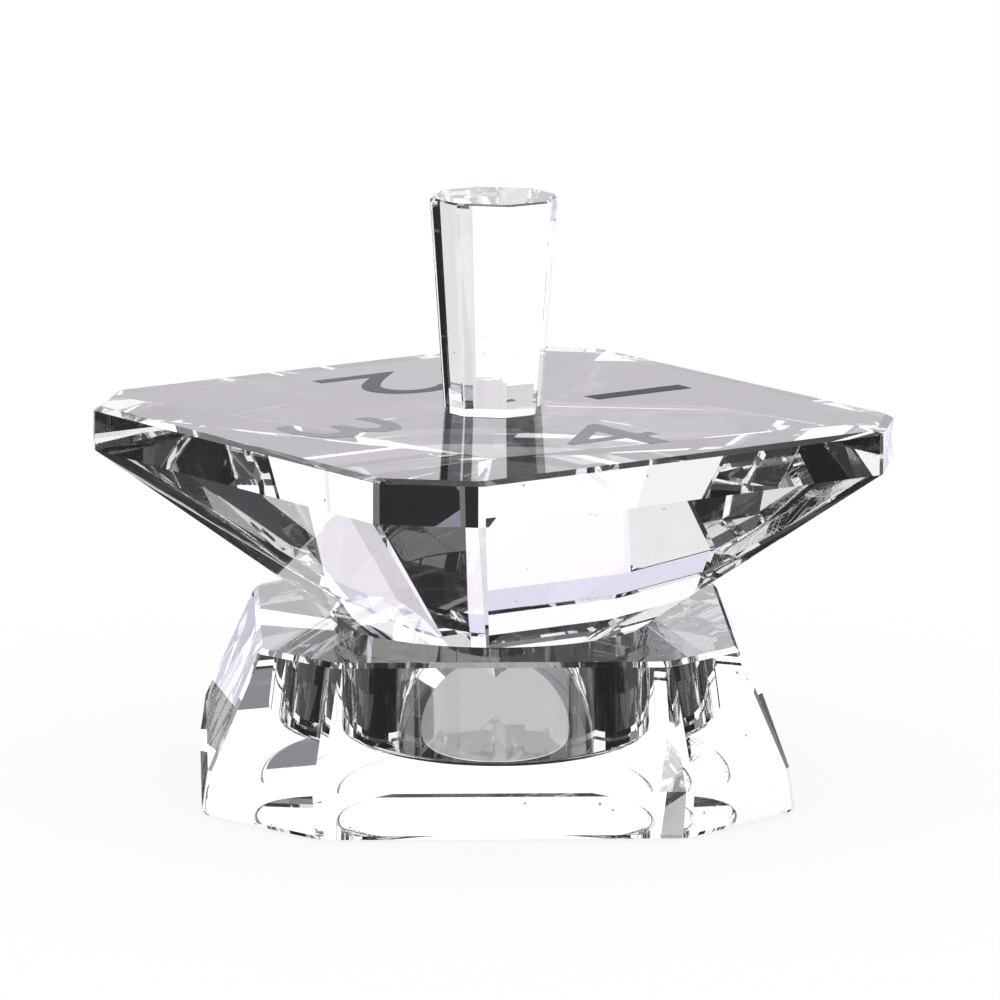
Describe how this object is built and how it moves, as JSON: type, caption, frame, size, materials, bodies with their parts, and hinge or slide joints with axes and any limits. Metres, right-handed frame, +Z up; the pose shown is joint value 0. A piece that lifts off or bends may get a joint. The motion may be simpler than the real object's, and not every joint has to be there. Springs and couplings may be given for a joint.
{
  "type": "dreidel on a display stand",
  "caption": "Clear crystal dreidel: a cut square block with a faceted point and an upright handle, resting in the round bore of a crystal display stand.",
  "frame": {"origin": "middle of the stand's foot, on the surface that it stands on", "axes": "+Z up along the dreidel's own axis and the bore; X and Y square to the stand's sides, with -Y towards the viewer of the picture"},
  "size_m": [0.1006, 0.1006, 0.0743],
  "materials": {
    "stand_crystal": "polished clear crystal",
    "block_crystal": "polished clear crystal",
    "handle_crystal": "polished clear crystal"
  },
  "bodies": {
    "stand_body": {"stand": "stand_crystal"},
    "dreidel_body": {"block": "block_crystal", "handle": "handle_crystal"}
  },
  "joints": [
    {"name": "lift", "type": "slide", "parent": "stand_body", "child": "dreidel_body", "axis": [0, 0, 1], "range_m": [0, 0.04]}
  ]
}
